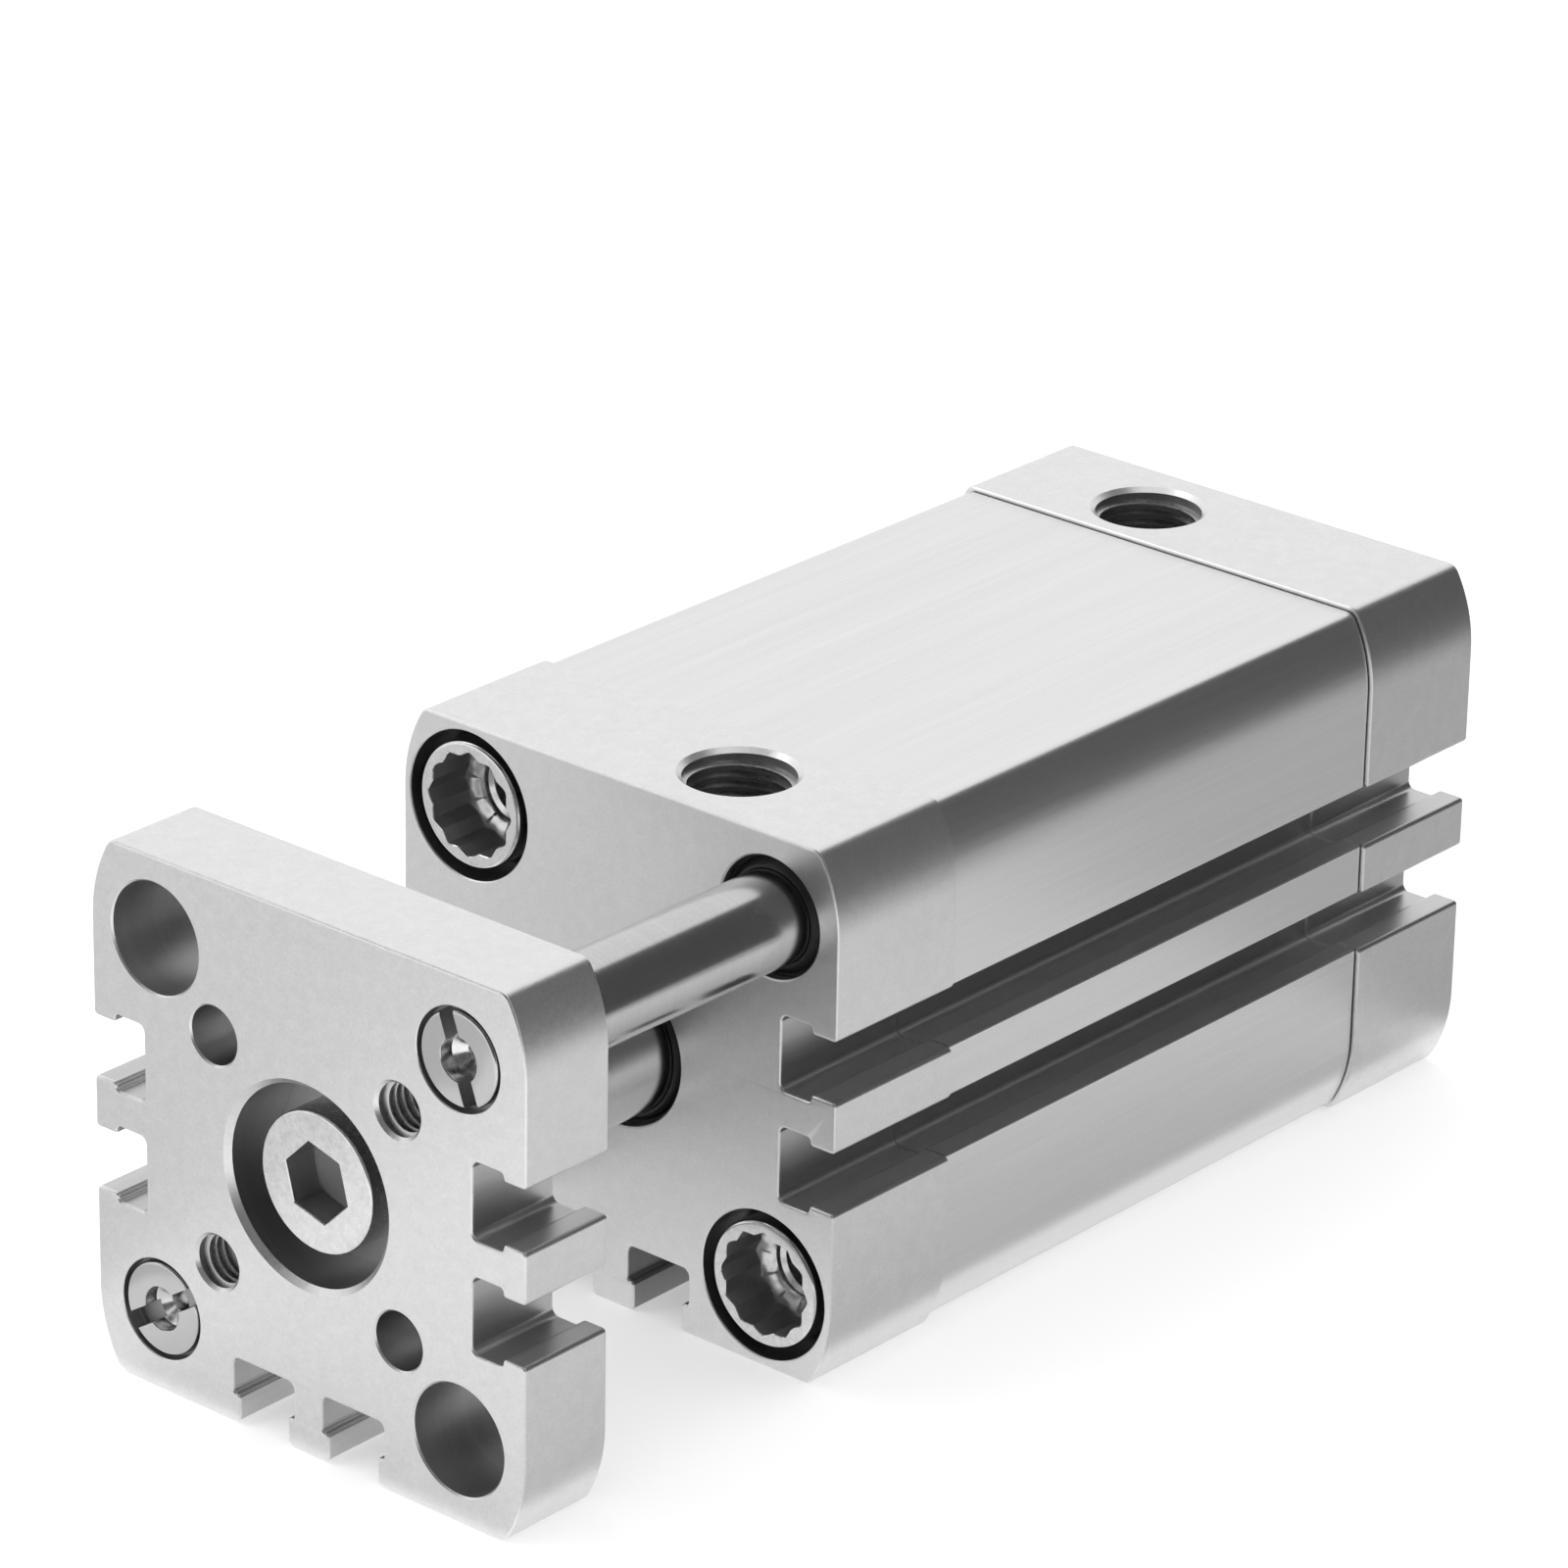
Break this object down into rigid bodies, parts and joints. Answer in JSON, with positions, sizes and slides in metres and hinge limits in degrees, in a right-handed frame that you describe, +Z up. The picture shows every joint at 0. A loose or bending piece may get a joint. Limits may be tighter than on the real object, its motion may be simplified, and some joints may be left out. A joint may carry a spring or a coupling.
{
  "type": "guided pneumatic cylinder",
  "caption": "Compact square pneumatic cylinder with a piston rod, side guide rods and a drilled yoke plate that slides out of a slotted aluminium housing.",
  "frame": {"origin": "centre of the rear mounting face, on the axis of the piston", "axes": "+Z up with both air ports on top, +Y along the piston axis out of the rear face, so the yoke plate moves out along -Y; +X is right as seen from the yoke's side"},
  "size_m": [0.047, 0.1198, 0.047],
  "materials": {
    "anodised_cap": "machined, fine blasted and clear anodised",
    "anodised_barrel": "extruded, lightly brushed and clear anodised",
    "anodised_yoke": "sawn, milled and clear anodised",
    "plated_screw_steel": "turned and zinc plated",
    "bright_screw_steel": "cold headed and bright plated",
    "rod_steel": "ground, hard chromed and polished",
    "black_rubber": "moulded",
    "bush_polymer": "filled bearing polymer",
    "cushion_elastomer": "moulded",
    "piston_aluminium": "turned",
    "magnet_plastic": "plastic bonded magnet"
  },
  "bodies": {
    "housing": {"bearing_cap": "anodised_cap", "cylinder_barrel": "anodised_barrel", "end_cap": "anodised_cap", "front_collar_screws": "plated_screw_steel", "rear_collar_screws": "plated_screw_steel", "rod_bush": "bush_polymer", "rod_wiper": "black_rubber", "guide_bush_upper": "bush_polymer", "guide_bush_lower": "bush_polymer", "guide_wiper_upper": "black_rubber", "guide_wiper_lower": "black_rubber", "front_cap_seal": "black_rubber", "rear_cap_seal": "black_rubber", "front_cushion_ring": "cushion_elastomer", "rear_cushion_ring": "cushion_elastomer"},
    "slide_unit": {"yoke_plate": "anodised_yoke", "yoke_screw": "bright_screw_steel", "piston_rod": "rod_steel", "guide_rod_upper": "rod_steel", "guide_rod_lower": "rod_steel", "piston_front_half": "piston_aluminium", "piston_rear_half": "piston_aluminium", "piston_seal_front": "black_rubber", "piston_seal_rear": "black_rubber", "piston_magnet": "magnet_plastic", "piston_guide_ring": "bush_polymer", "piston_o_ring": "black_rubber", "piston_screw": "plated_screw_steel"}
  },
  "joints": [
    {"name": "yoke_slide", "type": "slide", "parent": "housing", "child": "slide_unit", "axis": [0, -1, 0], "range_m": [-0.0205, 0.0195]}
  ]
}
